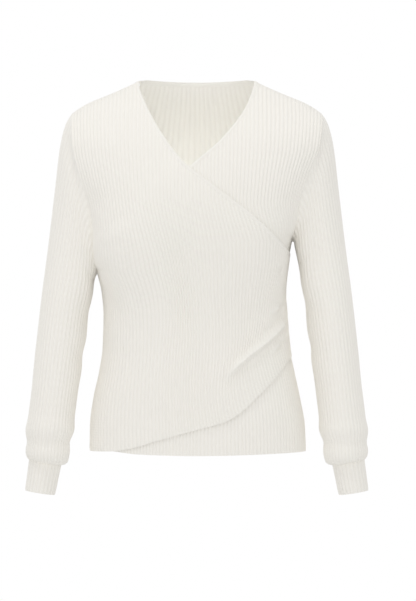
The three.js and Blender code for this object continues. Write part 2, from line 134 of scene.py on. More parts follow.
# The bands
BAND_WIDTH = 5.0
BACK_BAND_WIDTH = 8.0
BAND_STEPS = 260
BAND_SHARES = (0.0, 0.04, 0.16, 0.34, 0.5, 0.66, 0.84, 0.96, 1.0)  # points across a band
BAND_POWER = 4  # of its section's oval
BAND_RAISED = 0.45
BAND_RIPPLE = 0.12
BAND_OVER = 0.15
BAND_UNDER = 0.3
BAND_OVERLAP = 1.5  # how far the cloth reaches under its band

# Height, half width on the wearer's right and left, depth of the front and back from the side seam
SECTIONS = np.array(
    [
        (-586, 165.5, 170, 93, 90),
        (-540, 164.8, 168, 94, 92),
        (-495, 159, 160, 95, 91),
        (-457, 150.6, 152, 95, 88),
        (-419, 145, 144.3, 94, 85),
        (-370, 143.5, 140, 96, 84),
        (-330, 146.5, 137.4, 102, 87),
        (-308, 151.5, 139, 106, 89.5),
        (-287, 157.5, 141.8, 110, 92),
        (-268, 160, 144.5, 114.5, 95.5),
        (-247, 161.3, 149, 118, 98),
        (-230, 161.5, 153, 121, 100),
        (-192, 168.5, 160, 123, 103),
        (-151, 181, 173, 114, 102),
        (-104, 192, 190, 96, 96),
        (-51, 195, 195, 74, 82),
        (0, 195, 195, 52, 62),
    ]
)

# The pieces' edges as seen from the front, x and height
WRAP_EDGE = [
    (-91, 0), (-86, -22), (-62, -72), (-24, -126), (19, -162), (79, -207), (119, -243), (147, -273),
]
UNDER_EDGE = [(-152, -285), (-80, -205), (-10, -137), (35, -98), (70, -54), (84, -24), (91, 0)]
WRAP_HEM = [
    (-175, -580), (-130, -578), (-94, -571.5), (-71, -564), (-45, -556.5), (-10, -546.5),
    (26, -537), (43, -532), (58, -524), (76, -510), (94, -492.5), (116, -470), (150, -428),
]
UNDER_HEM = [(-175, -575), (-130, -578), (-92, -582), (0, -584), (175, -580)]
BACK_HEM = [(-175, -580), (0, -582), (175, -580)]

# Height, how far the armhole's edge is from the side plane, and how far round towards the side the
# section reaches: the lower part of the wearer's right and left armhole, and the upper part of both
LOWER_ARMHOLE = {
    -1: [
        (-315, 0, 1), (-297, 0, 1), (-288, 34, 0.97), (-270, 45, 0.95), (-240, 52, 0.92),
        (-192, 57, 0.9),
    ],
    1: [
        (-270, 0, 1), (-250, 0, 1), (-242, 32, 0.97), (-230, 45, 0.94), (-215, 52, 0.92),
        (-192, 57, 0.9),
    ],
}
UPPER_ARMHOLE = [(-151, 60, 0.88), (-104, 55, 0.88), (-51, 48, 0.88), (0, 40, 0.88)]

# Outer line, x and z, the inner line of the left sleeve and of the right one, x and z each, and
# half depth
SLEEVE_RINGS = [
    (205, -66, 153.5, -253, 156.5, -299, 57),
    (213.5, -100, 155, -262, 158, -303, 55.5),
    (221.5, -165, 158.5, -280, 160, -308, 54),
    (232, -250, 163.5, -308, 162.5, -320, 51),
    (244, -340, 170.5, -362, 168.6, -362, 50),
    (265.5, -540, 194, -551, 194.6, -551, 47),
    (269, -575, 198, -586, 199, -586, 45),
    (266.5, -588, 202, -598, 202.5, -598, 41),
]
CUFF_RINGS = [
    (262, -594.5, 210.5, -603, 210.5, -603, 29),
    (269, -640.5, 221.5, -648, 221.5, -648, 28),
]
ARM_FORWARD = 0.05
ARMHOLE_CLEARANCE = 0.5
SHOULDER_CLEARANCE = 0.15
OVAL_STEPS = 72
CUFF_TUCK = 2.0
CUFF_INSIDE = 6.0  # how far a cuff reaches up into its sleeve
PRESSED_BODY = 2.5  # how much fuller than round the body and the sleeve are where they touch
PRESSED_SLEEVE = 1.5
PRESSED_FROM = (-345, -290)  # the heights over which that sets in and dies away
PRESSED_TO = (-235, -190)
SLEEVE_PRESSED_FROM = (-370, -290)
CONTACT = 3.4  # between the middles of two walls whose ribs touch
CONTACT_RUN = 14.0  # how far below the underarm they are that far apart


def smooth(value, low, high):
    t = np.clip((value - low) / (high - low), 0, 1)
    return t * t * (3 - 2 * t)


def through(at, value):
    """A smooth line through points, which doesn't swing past them, held level beyond its ends."""
    at, value = np.asarray(at, float), np.asarray(value, float)
    width = np.diff(at).reshape((-1,) + (1,) * (value.ndim - 1))
    slope = np.diff(value, axis=0) / width
    before, after = slope[:-1], slope[1:]
    agree = before * after > 0
    inner = np.where(agree, 2 * before * after / np.where(agree, before + after, 1), 0)
    tangent = np.concatenate([slope[:1], inner, slope[-1:]])

    def line(x):
        x = np.asarray(x, float)
        i = np.clip(np.searchsorted(at, x, "right") - 1, 0, len(at) - 2)
        gap = (at[i + 1] - at[i]).reshape(x.shape + (1,) * (value.ndim - 1))
        t = np.clip((x - at[i]).reshape(gap.shape) / gap, 0, 1)
        rise = t * t * (3 - 2 * t)
        bend = gap * t * (1 - t) * ((1 - t) * tangent[i] - t * tangent[i + 1])
        return value[i] * (1 - rise) + value[i + 1] * rise + bend

    return line


HEIGHTS = SECTIONS[:, 0]
half_right, half_left, depth_front, depth_back = (
    through(HEIGHTS, measure) for measure in SECTIONS.T[1:]
)


def half_width(across, z):
    """The body's half width on the side that across is on."""
    return np.where(across < 0, half_right(z), half_left(z))


def roundness(share, z):
    """How far a section has come round from the side, fuller where the sleeve presses on it."""
    fuller = PRESSED_BODY * smooth(z, *PRESSED_FROM) * (1 - smooth(z, *PRESSED_TO))
    return np.sqrt(np.maximum(0, 1 - np.abs(share) ** (BODY_POWER + fuller)))


def shoulder_line(x):
    """Height of the shoulder seam, a little rounded up between the neck and the sleeve."""
    out = np.maximum(0, np.abs(x) - NECK_HALF) / (SHOULDER_HALF - NECK_HALF)
    bulge = np.sin(np.pi * np.minimum(out, 1) ** SHOULDER_ROUND_POWER)
    return -SHOULDER_DROP * (out - SHOULDER_ROUND * bulge)


def top_line(x, facing):
    """The highest that a body piece goes: over the shoulder seam only at the back of the neck."""
    risen = NECK_RISE * smooth(NECK_HALF - np.abs(x), 0, NECK_RISE_RUN) if facing > 0 else 0
    return shoulder_line(x) + risen


ARMHOLES = {side: np.array(lower + UPPER_ARMHOLE) for side, lower in LOWER_ARMHOLE.items()}
armhole, curl = (
    {side: through(at[:, 0], at[:, i]) for side, at in ARMHOLES.items()} for i in (1, 2)
)


def section_table(depth, side):
    """How far the body reaches out of the side plane, by angle round the section and height.

    Away from the armhole it is evened out up and down, as cloth passes smoothly under the arm.
    """
    share = np.sin(TABLE_TURN)[:, None]
    reach, least = curl[side](TABLE_HEIGHTS), armhole[side](TABLE_HEIGHTS)
    edge = roundness(reach, TABLE_HEIGHTS)
    middle = (roundness(share * reach, TABLE_HEIGHTS) - edge) / (1 - edge)
    out = least + (depth(TABLE_HEIGHTS) - least) * middle
    spread = EVENED * smooth(1 - share, *EVENED_OVER)
    apart = TABLE_HEIGHTS[:, None] - TABLE_HEIGHTS[None, :]
    for i, sigma in enumerate(spread[:, 0]):
        if sigma > LEAST_EVENED:
            weight = np.exp(-0.5 * (apart / sigma) ** 2)
            out[i] = weight @ out[i] / weight.sum(1)
    return out


TABLE_TURN = np.linspace(0, np.pi / 2, 181)
TABLE_HEIGHTS = np.arange(-640.0, 40.1, 4.0)


def between(table, row, rows, column, columns):
    """The table's value between its rows and columns, which are evenly apart."""
    i = np.clip((row - rows[0]) / (rows[1] - rows[0]), 0, len(rows) - 1.001)
    j = np.clip((column - columns[0]) / (columns[1] - columns[0]), 0, len(columns) - 1.001)
    i0, j0 = i.astype(int), j.astype(int)
    fi, fj = i - i0, j - j0
    low = table[i0, j0] * (1 - fj) + table[i0, j0 + 1] * fj
    high = table[i0 + 1, j0] * (1 - fj) + table[i0 + 1, j0 + 1] * fj
    return low * (1 - fi) + high * fi


FORM = {
    (facing, side): section_table(depth, side)
    for facing, depth in ((-1, depth_front), (1, depth_back))
    for side in (-1, 1)
}


def body_point(across, height, facing):
    """The body's middle surface: across is -1 at the wearer's right seam and 1 at the left one."""
    x = across * half_width(across, height)
    z = np.minimum(height, top_line(x, facing))
    turn = np.arcsin(np.clip(np.abs(across), 0, 1))
    right, left = (
        between(FORM[facing, side], turn, TABLE_TURN, z, TABLE_HEIGHTS) for side in (-1, 1)
    )
    out = np.where(across < 0, right, left)
    neck = np.maximum(0, 1 - (x / NECK_HALF) ** 2) * (NECK_FRONT if facing < 0 else NECK_BACK)
    rise = np.clip((z - ARCH_START) / (top_line(x, facing) - ARCH_START), 0, 1)
    kept = (1 - rise * rise) ** ARCH_POWER
    y = out * kept + neck * (1 - kept) ** NECK_POWER
    return np.stack([x, facing * (y + SEAM_GAP / 2), z], -1)


def unit(v):
    return v / np.maximum(np.linalg.norm(v, axis=-1, keepdims=True), 1e-12)


def body_row(across, height, facing, lift):
    """Places on a body piece, moved out by lift, and the directions that point out of it there."""
    step, drop = 0.004, 3.0
    place = body_point(across, height, facing)
    round_it = body_point(np.clip(across + step, -1, 1), height, facing)
    round_it = round_it - body_point(np.clip(across - step, -1, 1), height, facing)
    top = np.minimum(height + drop, top_line(place[..., 0], facing))
    up = body_point(across, top, facing) - body_point(across, height - drop, facing)
    normal = -facing * np.cross(round_it, up)
    normal[..., 1] = np.where(np.abs(place[..., 1]) < SEAM_GAP, 0, normal[..., 1])
    normal = unit(normal)
    return place + normal * lift(place[..., 0], place[..., 2])[..., None], normal


# Where each rib runs: a table of the share of the width over the rib's number and the height.
TABLE_STEP = 4.0
TABLE_Z = np.arange(LOWEST, 8.1, TABLE_STEP)
TABLE_K = np.arange(-50, 50.01, 0.25)


def rib_table(facing):
    """across[z, k] for rib number k, counted from the middle, on a body panel."""
    share = np.sin(np.linspace(0, np.pi / 2, 400))
    table = np.empty((len(TABLE_Z), len(TABLE_K)))

    def lengths_at(side, z):
        places = body_point(side * share, np.full_like(share, z), facing)
        return np.r_[0, np.cumsum(np.linalg.norm(np.diff(places, axis=0), axis=1))]

    for j, z in enumerate(TABLE_Z):
        low = min(z, ARMHOLE_BOTTOM)
        for side in (-1, 1):
            lengths = lengths_at(side, low)
            free = smooth(low, UNDERARM[side], ARMHOLE_BOTTOM)
            whole = lengths_at(side, min(low, UNDERARM[side]))[-1]
            pitch = whole / RIBS_TO_SEAM[facing][side] * (1 - free) + CHEST_PITCH * free
            ribs = TABLE_K < 0 if side < 0 else TABLE_K >= 0
            wanted = side * TABLE_K[ribs] * pitch
            found = np.interp(wanted, lengths, share)
            found += np.maximum(0, wanted - lengths[-1]) / PAST_EDGE
            if z > ARMHOLE_BOTTOM:
                narrow = float(half_width(side, np.array(ARMHOLE_BOTTOM)))
                wide = float(half_width(side, np.array(z)))
                x = found * narrow + (wide - narrow) * found**ARMHOLE_SPREAD
                found = x / wide
            table[j, ribs] = side * found
    return table


def sampled(table, k, z):
    return between(table, z, TABLE_Z, k, TABLE_K)


def zip_chains(first, second, first_ids, second_ids, triangles):
    """Fills the strip between two chains of vertices whose places along it are given."""
    i = j = 0
    a, b = len(first) - 1, len(second) - 1
    while i < a or j < b:
        if j == b or (i < a and first[i + 1] <= second[j + 1]):
            triangles.append((first_ids[i], second_ids[j], first_ids[i + 1]))
            i += 1
        else:
            triangles.append((first_ids[i], second_ids[j], second_ids[j + 1]))
            j += 1


def listed(grid):
    """A grid of points as one list, column after column."""
    return grid.reshape(-1, grid.shape[-1])


def knit_shell(name, columns, outer, inner, every, uv, closed=False):
    """A closed shell. columns lists each column's places along it; outer and inner hold the faces'
    points, all columns one after another, and the inner face has only every so many columns."""
    starts = np.r_[0, np.cumsum([len(c) for c in columns])]
    ids = [range(starts[i], starts[i + 1]) for i in range(len(columns))]
    count = len(columns)
    lined = [i for i in range(count) if i % every == 0 or (not closed and i == count - 1)]
    inner_ids = {}
    chosen = []
    for i in lined:
        inner_ids[i] = range(len(outer) + len(chosen), len(outer) + len(chosen) + len(ids[i]))
        chosen.extend(ids[i])
    points = np.concatenate([outer, inner[chosen]])
    marks = np.concatenate([uv[0], uv[1][chosen]])
    triangles = []
    for i in range(count if closed else count - 1):
        j = (i + 1) % count
        zip_chains(columns[i], columns[j], ids[i], ids[j], triangles)
    for a in range(len(lined) if closed else len(lined) - 1):
        i, j = lined[a], lined[(a + 1) % len(lined)]
        zip_chains(columns[j], columns[i], inner_ids[j], inner_ids[i], triangles)
    wrap = [count] if closed else []
    for end in (0, -1):
        out_chain = [c[end] for c in ids] + ([ids[0][end]] if closed else [])
        in_chain = [inner_ids[i][end] for i in lined] + ([inner_ids[0][end]] if closed else [])
        pair = (list(range(count)) + wrap, lined + wrap, out_chain, in_chain)
        if end:
            pair = (pair[1], pair[0], pair[3], pair[2])
        zip_chains(*pair, triangles)
    if not closed:
        zip_chains(columns[0], columns[0], inner_ids[0], ids[0], triangles)
        last = count - 1
        zip_chains(columns[last], columns[last], ids[last], inner_ids[last], triangles)
    return mesh_object(name, points * MM, triangles, marks)


def mesh_object(name, points, triangles, marks):
    mesh = bpy.data.meshes.new(name)
    faces = np.array(triangles, np.int32)
    mesh.vertices.add(len(points))
    mesh.vertices.foreach_set("co", points.astype(np.float32).ravel())
    mesh.loops.add(faces.size)
    mesh.loops.foreach_set("vertex_index", faces.ravel())
    mesh.polygons.add(len(faces))
    mesh.polygons.foreach_set("loop_start", np.arange(0, faces.size, 3, dtype=np.int32))
    mesh.update(calc_edges=True)
    mesh.polygons.foreach_set("use_smooth", np.ones(len(faces), bool))
    mesh.set_sharp_from_angle(angle=EDGE_ANGLE)
    layer = mesh.uv_layers.new(name="Knit")
    layer.uv.foreach_set("vector", marks[faces.ravel()].astype(np.float32).ravel())
    mesh.validate()
    piece = bpy.data.objects.new(name, mesh)
    bpy.context.scene.collection.objects.link(piece)
    return piece


def rib_profile(phase):
    """Height of a rib over its groove, 0 to 1, at a phase that is a whole number in each groove."""
    wave = 0.5 - 0.5 * np.cos(2 * np.pi * phase)
    return wave**RIB_POWER


def edge_points(table, count=EDGE_STEPS):
    """An evenly spaced smooth line through the table's points, and the direction into the cloth."""
    points = np.array(table, float)
    padded = np.concatenate([2 * points[:1] - points[1:2], points, 2 * points[-1:] - points[-2:-1]])
    dense = []
    for i in range(len(points) - 1):
        p0, p1, p2, p3 = padded[i : i + 4]
        t = np.linspace(0, 1, DENSE_STEPS, endpoint=i == len(points) - 2)[:, None]
        bend = 2 * p0 - 5 * p1 + 4 * p2 - p3 + (3 * p1 - p0 - 3 * p2 + p3) * t
        dense.append(0.5 * (2 * p1 + (p2 - p0) * t + bend * t * t))
    dense = np.concatenate(dense)
    length = np.r_[0, np.cumsum(np.linalg.norm(np.diff(dense, axis=0), axis=1))]
    wanted = np.linspace(0, length[-1], count + 1)
    even = np.stack([np.interp(wanted, length, dense[:, i]) for i in (0, 1)], 1)
    along = unit(np.gradient(even, axis=0))
    return even, np.stack([along[:, 1], -along[:, 0]], 1)


def edge_inside(table, distance):
    """The edge moved into the cloth, as a height over x; past a neck end it is out of the way."""
    points, inwards = edge_points(table)
    moved = points + inwards * distance
    keep = np.r_[True, moved[1:, 0] > np.maximum.accumulate(moved[:, 0])[:-1]]
    x, z = moved[keep].T
    far = [OUT_OF_THE_WAY if end > ARCH_START else end for end in (z[0], z[-1])]
    return lambda at: np.interp(at, x, z, left=far[0], right=far[1])


# Folds: each runs along a line, as seen from the front, with its height, its widths above and
# below its crest, and the share of its length over which it rises and dies away. A negative
# height is a trough.
GATHERS = [
    (
        [(152, -360), (138, -375), (114, -400), (96, -416), (63, -444), (40, -472)],
        7.6, 5.4, 3.8, 0.1, 0.3,
    ),
    (
        [(152, -376), (136, -394), (112, -416), (88, -436), (60, -460), (34, -486)],
        -3.0, 5, 10, 0.1, 0.5,
    ),
    ([(150, -346), (134, -362), (112, -386), (88, -404)], -3.0, 4.5, 4.5, 0.2, 0.6),
    ([(104, -352), (80, -376), (56, -396)], -1.6, 12, 10, 0.4, 0.4),
    ([(150, -334), (131.5, -349.5), (113, -364), (104, -370)], 4.6, 4.2, 3.0, 0.15, 0.5),
    ([(150, -345), (131, -359), (112, -373)], -2.4, 4, 6, 0.15, 0.5),
    ([(150, -386), (135, -401), (117, -423), (110, -432)], 4.4, 4.2, 3.0, 0.15, 0.45),
    ([(150, -398), (135, -411), (116, -433)], -1.6, 3.5, 6, 0.15, 0.5),
    ([(150, -282), (128, -300), (112, -312)], -1.0, 6, 7, 0.2, 0.5),
    ([(150, -274), (128, -289), (116, -297)], 1.0, 6, 5, 0.2, 0.5),
    ([(66, -420), (44, -446), (30, -470)], 1.2, 9, 8, 0.4, 0.5),
]
# Hollows between the gathers' starts: x, z, depth, half width and half height
PITS = [(130, -298, 3.8, 3.4, 6), (128, -355, 3.6, 3.6, 6), (129, -406, 3.4, 3.4, 6)]
# The crests of the high folds, where the cloth is pulled flat
HIGH_FOLD = 3
TIGHT = [
    (path, 1.0, 3.6, 3.0, rise, die)
    for path, height, _, _, rise, die in GATHERS
    if height > HIGH_FOLD
]


FOLD_STEPS = 80
FOLD_END = 4.0  # how soon a fold dies away past its ends


def fold_height(folds, x, z):
    total = np.zeros(np.shape(x))
    for path, height, above, below, rise, die in folds:
        line, side = edge_points(path, FOLD_STEPS)
        side = side * np.sign(side[:, 1:])
        apart = np.stack([x, z], -1)[..., None, :] - line
        near = np.argmin((apart**2).sum(-1), -1)
        gap = np.take_along_axis(apart, near[..., None, None], -2)[..., 0, :]
        aside = (gap * side[near]).sum(-1)
        away = np.sqrt(np.maximum(0, (gap**2).sum(-1) - aside**2))
        width = np.where(aside > 0, above, below)
        share = near / FOLD_STEPS
        fade = smooth(share, 0, rise) * (1 - smooth(share, 1 - die, 1))
        total = total + height * fade * np.exp(-((aside / width) ** 2) - (away / FOLD_END) ** 2)
    return total


def pit_depth(x, z):
    return sum(d * np.exp(-(((x - a) / w) ** 2) - ((z - b) / h) ** 2) for a, b, d, w, h in PITS)


# Soft creases that the worn cloth has near the armholes, the bust, the waist and the neck.
FRONT_CREASES = [
    ([(-156, -246), (-128, -226), (-92, -206)], -1.2, 9, 9, 0.3, 0.5),
    ([(-156, -270), (-128, -258), (-100, -248)], -0.9, 9, 8, 0.3, 0.5),
    ([(150, -232), (128, -218), (100, -206)], -1.1, 8, 9, 0.3, 0.5),
    ([(-148, -346), (-118, -360), (-88, -372)], -0.8, 12, 10, 0.3, 0.5),
    ([(-146, -388), (-112, -404), (-76, -420)], 0.8, 12, 10, 0.3, 0.5),
    ([(-30, -512), (-64, -522), (-98, -530)], -0.7, 14, 10, 0.4, 0.4),
]
BACK_CREASES = [
    ([(-154, -244), (-122, -226), (-88, -210)], -1.6, 10, 10, 0.3, 0.5),
    ([(152, -246), (120, -228), (84, -214)], -1.5, 10, 10, 0.3, 0.5),
    ([(-148, -298), (-108, -312), (-66, -322)], -1.2, 12, 12, 0.3, 0.5),
    ([(144, -304), (100, -320), (56, -330)], -1.3, 12, 12, 0.3, 0.5),
    ([(-140, -366), (-60, -384), (24, -393)], -1.8, 14, 12, 0.3, 0.4),
    ([(138, -382), (64, -402), (-14, -413)], -1.6, 12, 14, 0.3, 0.4),
    ([(-124, -402), (-30, -422), (64, -433)], 1.4, 14, 12, 0.3, 0.4),
    ([(-62, -66), (-40, -90), (-18, -112)], -0.9, 14, 14, 0.4, 0.4),
]

under_line = edge_inside(UNDER_EDGE, 0)
wrap_line = edge_inside(WRAP_EDGE, 0)
wrap_bottom = through(*np.array(WRAP_HEM, float).T)


SEAM_FADE = (12, 4.5)  # how far from the side seam the gathers start to die away, and have done so
STRETCH = 0.9  # how much of its ribs a fold's crest loses
STRETCHED_FROM = 1 / 1.4  # the share of a fold's height from which it loses that much


def over_layer(x, z):
    """How far the upper layer lies out of the body's surface, with its folds."""
    cover = smooth(under_line(x) + LIFT_REACH * COVER_FADE - z, 0, COVER_FADE)
    at_seam = 1 - smooth(x, *(half_left(z) - from_seam for from_seam in SEAM_FADE))
    folds = fold_height(GATHERS, x, z) - pit_depth(x, z)
    return OVER_LIFT * cover + folds * at_seam + fold_height(FRONT_CREASES, x, z)


def pulled_tight(x, z):
    """How far the crests of the gathers are pulled flat, so that their ribs don't show."""
    return STRETCH * np.clip(fold_height(TIGHT, x, z) / STRETCHED_FROM, 0, 1)


def under_layer(x, z):
    """The layer below is sunk where the upper one covers it."""
    below = smooth(wrap_line(x) + LIFT_REACH * COVER_FADE - z, 0, COVER_FADE)
    above = smooth(z - wrap_bottom(x) + LIFT_REACH * COVER_FADE, 0, COVER_FADE)
    sink = FLAT_SINK + (1 - FLAT_SINK) * smooth(x, 0, SINK_RUN)
    return -UNDER_SINK * sink * below * above


def back_layer(x, z):
    return fold_height(BACK_CREASES, x, z)


def band_back_line(x):
    """Height of the back neckline: level, and down to the shoulder seams at its ends."""
    fall = BACK_NECK["fall"] * smooth(np.abs(x), BACK_NECK["fall_from"], NECK_HALF)
    return BACK_NECK["height"] + BACK_NECK["rise"] * (x / NECK_HALF) ** 2 - fall


SHARES = (-1, -0.94, -0.86, -0.7, -0.4, 0, 0.4, 0.7, 0.86, 0.94, 1)
BACK_NECK_EDGE = [(s * (NECK_HALF + 1), float(band_back_line(s * NECK_HALF))) for s in SHARES]


def straight(k, z):
    return np.zeros(np.shape(k))


ridge_line = through([20, 43, 63, 96, 114, 138, 152], [-490, -469, -444, -416, -400, -375, -360])


drawn_at = through([-586, -500, -420, -330, -250, -190], [30, 27, 23, 17, 9, 0])  # mm by height
BUST_RIB = -14  # the rib over the bust on the wearer's right
BUST_RIBS = 7
BUST_DRAWN = 12.0
BUST_FROM = (-320, -198)
BUST_TO = (-470, -335)
RIDGE_ABOVE = 62.0  # how far the ribs run along the highest gather, above it and below it
RIDGE_BELOW = 80.0
RIDGE_DROP = 3.0
RIDGE_FROM = (-80, 100)
ALONG_RIDGE = 0.97


def drawn_aside(k, z):
    """How many ribs' width the ribs of the upper layer are drawn towards the gathers."""
    drawn = drawn_at(z) * smooth(k, -RIBS_HALF, BUST_RIB)
    bust = BUST_DRAWN * np.exp(-(((k - BUST_RIB) / BUST_RIBS) ** 2))
    bust = bust * (1 - smooth(z, *BUST_FROM)) * smooth(z, *BUST_TO)
    x = k * FRONT_PITCH
    over = z - ridge_line(x) + RIDGE_DROP
    reach = np.where(over > 0, RIDGE_ABOVE, RIDGE_BELOW)
    bow = np.exp(-((over / reach) ** 2)) * smooth(x, *RIDGE_FROM)
    return (drawn * (1 - ALONG_RIDGE * bow) + bust) / CHEST_PITCH


def plain_inside(k, z):
    return k + 0.5, INNER_RIB


def bold_inside(k, z):
    """The back's inside has bolder ribs, which spread out from the neck."""
    spread = 1 + NECK_SPREAD * np.clip(-z, 0, NECK_SPREAD_RUN)
    return k * BACK_INNER_RIBS / spread + 0.5, BACK_INNER_RIB


def body_panel(
    name,
    facing,
    hem,
    top,
    lift,
    bend=straight,
    every=HIDDEN_LINING,
    row_step=ROW_STEP,
    lining=plain_inside,
    flat=None,
):
    """A front or back piece from its hem to its top, functions of x, as are its lift and bend."""
    table = rib_table(facing)
    search = np.arange(LEAST_RIBS, RIBS_HALF, 0.01)
    at_armhole = np.full(len(search), ARMHOLE_BOTTOM + 0.1)
    edges = {
        side * float(np.interp(1, side * sampled(table, side * search, at_armhole), search))
        for side in (-1, 1)
    }
    most = RIBS_TO_SEAM[facing]
    numbers = np.arange(-most[-1], most[1] + 1e-6, 1 / SAMPLES)
    numbers = np.array(sorted(set(np.round(numbers, 5)) | edges))

    def share(k, z):
        return sampled(table, k + bend(k, z), z)

    fine = np.arange(LOWEST, 7.01, 1.0)
    kk, zz = np.meshgrid(numbers, fine, indexing="ij")
    across = share(kk, zz)
    x = across * half_width(across, zz)
    room = np.minimum(zz - hem(x), np.minimum(top_line(x, facing), top(x)) - zz)
    room = np.minimum(room, (SEAM_SHARE - np.abs(across)) * SEAM_SCALE)
    columns, ks, zs, relief_fade = [], [], [], []
    for i, k in enumerate(numbers):
        inside = np.flatnonzero(room[i] > 0)
        if len(inside) < LEAST_ROWS:
            continue
        low, high = inside[0], inside[-1]
        bottom, upper = fine[low], fine[high]
        if low > 0:
            bottom -= room[i, low] / (room[i, low] - room[i, low - 1])
        if high + 1 < len(fine):
            upper += room[i, high] / (room[i, high] - room[i, high + 1])
        first = math.ceil((bottom + END_ROOM) / row_step) * row_step
        rows = np.r_[bottom, np.arange(first, upper - END_ROOM, row_step), upper]
        columns.append(rows)
        ks.append(np.full(len(rows), k))
        zs.append(rows)
        relief_fade.append(smooth(rows - bottom, *HEM_FADE) * smooth(upper - rows, *TOP_FADE))
    if facing > 0:
        columns, ks, zs, relief_fade = (part[::-1] for part in (columns, ks, zs, relief_fade))
    k, z, fade = (np.concatenate(part) for part in (ks, zs, relief_fade))
    across = np.clip(share(k, z), -1, 1)
    place, normal = body_row(across, z, facing, lift)
    rng = np.random.default_rng(len(name) * 7 + facing)
    strength = rng.uniform(*RIB_UNEVEN, 2 * RIBS_HALF + 2)[(np.floor(k) + RIBS_HALF).astype(int)]
    tight = flat(place[:, 0], z) if flat else 0
    rib = (rib_profile(k) * strength * (1 - tight) + TIGHT_LEVEL * tight - GROOVE) * fade
    outer = place + normal * (OUTWARD + WALL / 2 + RIB_HEIGHT * rib)[:, None]
    phase, inner_rib = lining(k, z)
    inner = place + normal * (OUTWARD - WALL / 2 - inner_rib * rib_profile(phase) * fade)[:, None]
    # Where the cloth is pulled flat, its stitches are those of the rib's middle, and it takes the
    # light colour of a rib's crest instead of the painted groove shade. The inside's painted groove
    # shade follows its own ribs.
    stitches = (z - LOWEST) / STITCH
    uv = np.stack([k + FIRST_RIB + (np.floor(k) + 0.5 - k) * tight, stitches], 1)
    inner_uv = np.stack([phase + FIRST_RIB, stitches], 1)
    return knit_shell(name, [list(c) for c in columns], outer, inner, every, (uv, inner_uv))


def edge_band(name, facing, table, lift, width=BAND_WIDTH):
    """A narrow turned band along an edge, round across its width."""
    points, inwards = edge_points(table, BAND_STEPS)
    shares = np.array(BAND_SHARES)
    bulge = np.sqrt(np.maximum(0, 1 - (2 * shares - 1) ** BAND_POWER))
    at = points[:, None] + inwards[:, None] * (width * (1 - shares))[None, :, None]
    x, z = at[..., 0], at[..., 1]
    across = np.clip(x / half_width(x, z), -1, 1)
    place, normal = body_row(across, z, facing, lift)
    along = np.arange(BAND_STEPS + 1)[:, None]
    ripple = BAND_RIPPLE * np.cos(along * np.pi)
    raised = (WALL / 2 + BAND_RAISED + ripple) * bulge + BAND_OVER
    outer = place + normal * (OUTWARD + raised)[..., None]
    inner = place + normal * (OUTWARD - (WALL / 2 + BAND_UNDER) * bulge)[..., None]
    rows = [list(range(len(shares)))] * (BAND_STEPS + 1)
    uv = np.stack(np.broadcast_arrays(along / 2.0, shares * width / STITCH), -1)
    if facing > 0:
        outer, inner, uv = outer[::-1], inner[::-1], uv[::-1]
    return knit_shell(name, rows, listed(outer), listed(inner), 1, (listed(uv), listed(uv)))


def even_loop(line, count):
    """Points at even distances round a closed smooth line."""
    n = len(line)
    t = np.arange(0, n, 0.05)
    i = t.astype(int)
    f = (t - i)[:, None]
    p0, p1, p2, p3 = (line[(i + d) % n] for d in (-1, 0, 1, 2))
    bend = (2 * p0 - 5 * p1 + 4 * p2 - p3) + (3 * p1 - p0 - 3 * p2 + p3) * f
    dense = 0.5 * (2 * p1 + (p2 - p0) * f + bend * f * f)
    dense = np.concatenate([dense, dense[:1]])
    length = np.r_[0, np.cumsum(np.linalg.norm(np.diff(dense, axis=0), axis=1))]
    wanted = np.linspace(0, length[-1], count, endpoint=False)
    return np.stack([np.interp(wanted, length, dense[:, c]) for c in range(3)], 1)


def armhole_loop(side, count):
    """The sleeve's first ring, just off the body pieces' edges round the armhole."""
    middle = (UNDERARM[side] - SHOULDER_DROP) / 2
    half = (-SHOULDER_DROP - UNDERARM[side]) / 2
    z = middle - half * np.cos(np.linspace(0, np.pi, OVAL_STEPS + 1))
    up = np.sqrt(np.clip((z - UNDERARM[side]) / (2 * half), 0, 1))
    clear = ARMHOLE_CLEARANCE + (SHOULDER_CLEARANCE - ARMHOLE_CLEARANCE) * up
    line = []
    for facing in (-1, 1):
        place = body_point(np.full_like(z, side), z, facing)
        place[:, 0] += side * clear
        line.append(place if facing < 0 else place[::-1])
    return even_loop(np.concatenate(line), count)


def tube_ring(ring, side, count):
    """One ring of a sleeve or cuff, an oval between the outer and the inner line."""
    outer_x, outer_z, left_x, left_z, right_x, right_z, depth = ring
    inner_x, inner_z = (left_x, left_z) if side > 0 else (right_x, right_z)
    outer = np.array([side * outer_x, 0, outer_z])
    inner = np.array([side * inner_x, 0, inner_z])
    centre = (outer + inner) / 2
    half = np.linalg.norm(outer - inner) / 2
    towards = (inner - outer) / (2 * half)
    angle = 2 * np.pi * np.arange(OVAL_STEPS) / OVAL_STEPS
    fuller = PRESSED_SLEEVE * smooth(inner_z, *SLEEVE_PRESSED_FROM)
    power = 2 / (2 + np.where(np.cos(angle) > 0, fuller, 0))
    inwards = np.sign(np.cos(angle)) * np.abs(np.cos(angle)) ** power
    line = centre + towards * ((half - SKIN) * inwards)[:, None]
    forward = np.sign(np.sin(angle)) * np.abs(np.sin(angle)) ** power
    line[:, 1] = min(0, ARM_FORWARD * (centre[2] - UNDERARM[1])) - (depth - SKIN) * forward
    return even_loop(line, count)


def share_table(form):
    """The share of the half width at which the body lies at a depth, by depth and height."""
    columns = [
        np.sin(np.interp(TABLE_DEPTH, form[::-1, j], TABLE_TURN[::-1]))
        for j in range(len(TABLE_HEIGHTS))
    ]
    return np.stack(columns, 1)


TABLE_DEPTH = np.arange(0, 80.0)
SIDE_FORM = {key: share_table(form) for key, form in FORM.items()}


